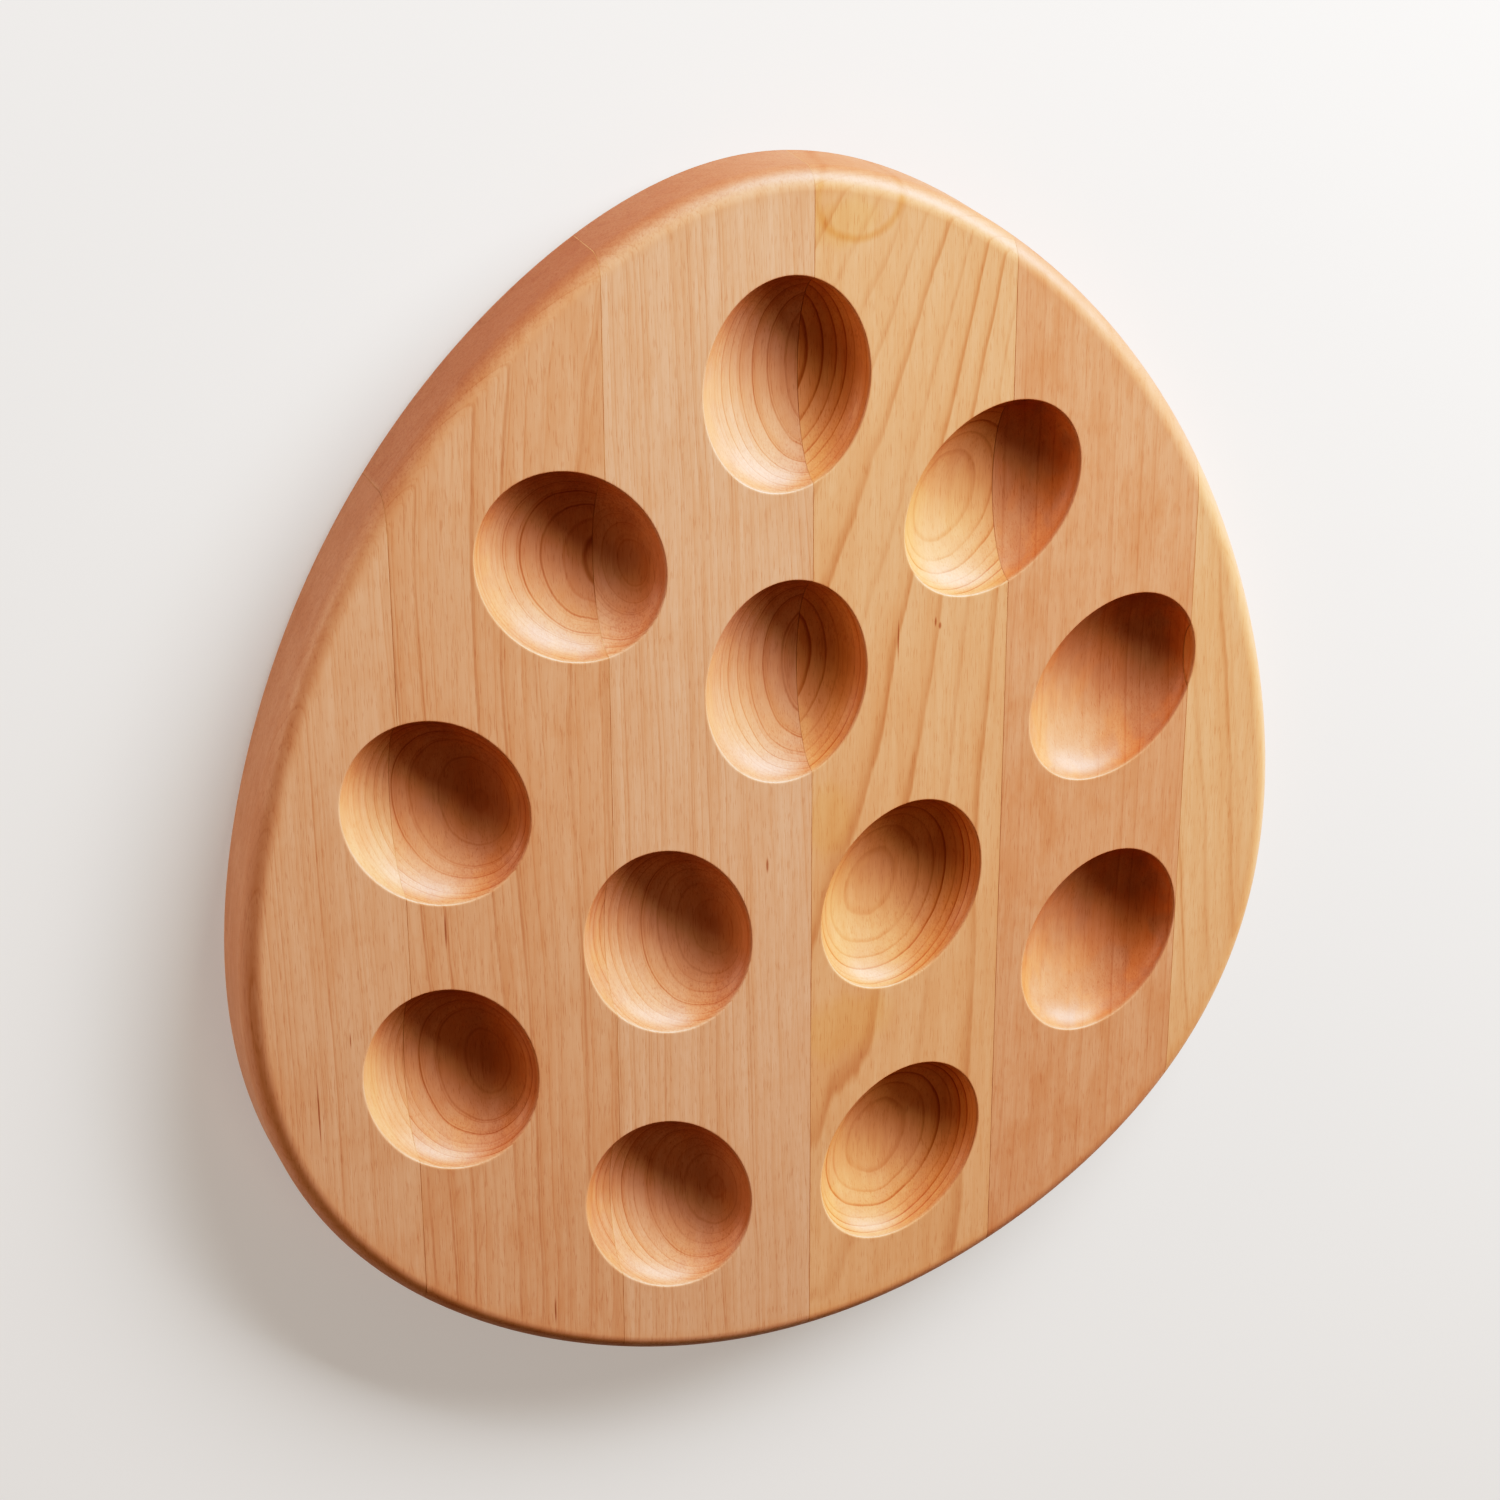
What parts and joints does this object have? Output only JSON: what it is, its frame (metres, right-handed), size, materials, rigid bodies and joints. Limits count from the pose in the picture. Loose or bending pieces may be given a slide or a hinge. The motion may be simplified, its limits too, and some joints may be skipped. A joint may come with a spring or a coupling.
{
  "type": "egg holder tray",
  "caption": "Flat egg-shaped serving tray of edge-glued maple staves with oval bowl-shaped wells for halved boiled eggs.",
  "frame": {"origin": "under the middle of the tray's bounding box, at the height of its underside", "axes": "+Z out of the top face, where the wells are; +Y towards the narrow end, along the grain and the glue lines; +X to the right as seen from above"},
  "size_m": [0.2692, 0.308, 0.0191],
  "materials": {
    "stave_1": "satin oiled maple",
    "stave_2": "satin oiled maple",
    "stave_3": "satin oiled maple",
    "stave_4": "satin oiled maple",
    "stave_5": "satin oiled maple",
    "stave_6": "satin oiled maple",
    "glue": "dried wood glue, seen as a thin dark line"
  },
  "bodies": {
    "root": {"stave_1": "stave_1", "stave_2": "stave_2", "stave_3": "stave_3", "stave_4": "stave_4", "stave_5": "stave_5", "stave_6": "stave_6", "glue_line_1": "glue", "glue_line_2": "glue", "glue_line_3": "glue", "glue_line_4": "glue", "glue_line_5": "glue"}
  },
  "joints": []
}
